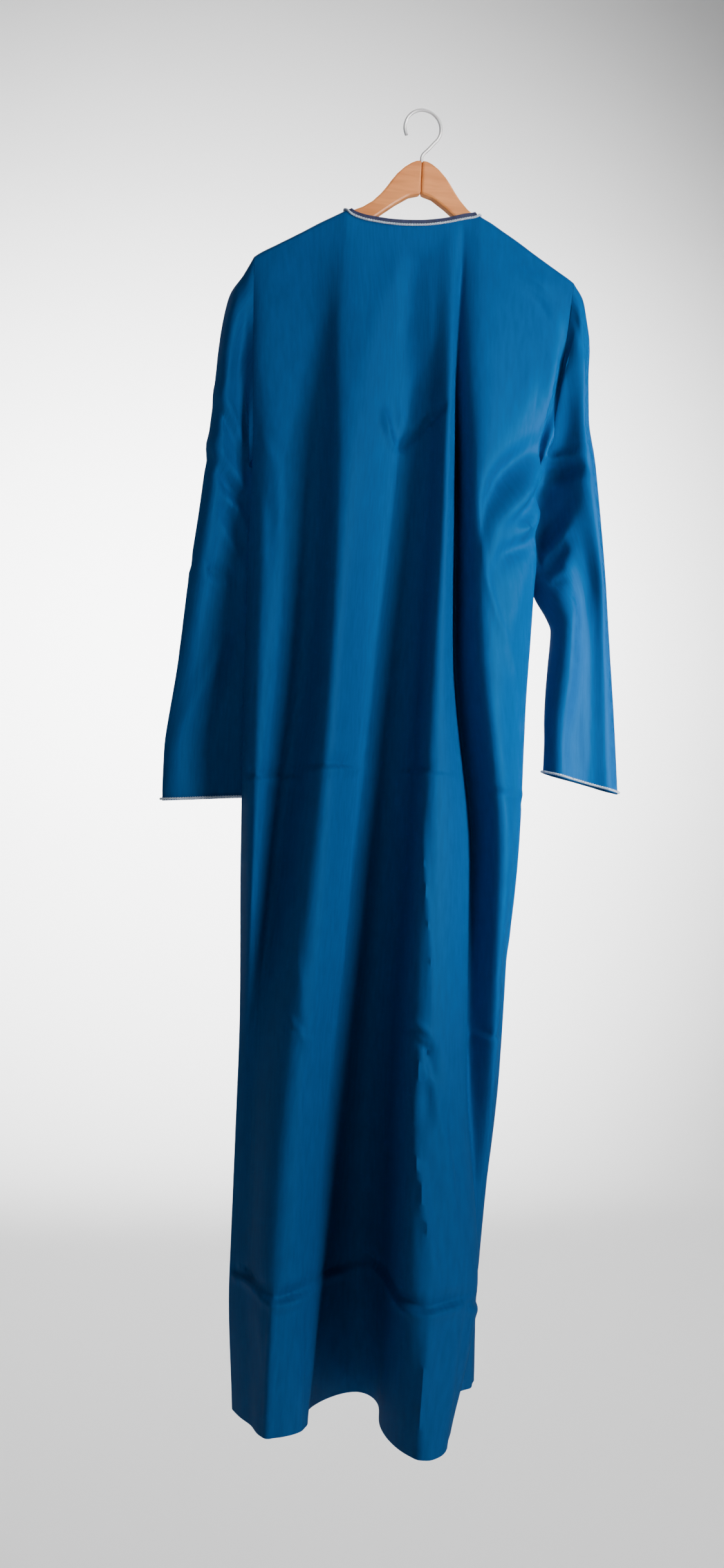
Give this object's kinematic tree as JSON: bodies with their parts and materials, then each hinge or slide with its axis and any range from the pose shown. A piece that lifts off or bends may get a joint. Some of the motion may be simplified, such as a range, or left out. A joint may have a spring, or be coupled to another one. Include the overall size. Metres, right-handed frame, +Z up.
{
  "type": "thobe robe on a wooden hanger",
  "caption": "Ankle-length satin thobe robe hung on a wooden hanger, long sleeves, round neck with bound edge and twisted cord, loose vertical folds, back facing the viewer.",
  "frame": {"origin": "highest inside point of the hanger's hook, where the rail holds it", "axes": "+X along the hanger towards the picture's right, +Y through the cloth towards the garment's front, +Z up"},
  "size_m": [0.5614, 0.3362, 1.5663],
  "materials": {
    "cloth": "satin cotton with a soft sheen",
    "binding": "matte woven tape",
    "cord": "twisted cord",
    "wood": "clear lacquer",
    "wire": "polished wire"
  },
  "bodies": {
    "root": {"back_panel": "cloth", "front_panel": "cloth", "sleeve_left": "cloth", "sleeve_right": "cloth", "front_placket": "cloth", "neck_binding": "binding", "neck_cord": "cord", "cuff_cord_left": "cord", "cuff_cord_right": "cord", "hanger_arm_left": "wood", "hanger_arm_right": "wood", "hanger_hook": "wire"}
  },
  "joints": []
}
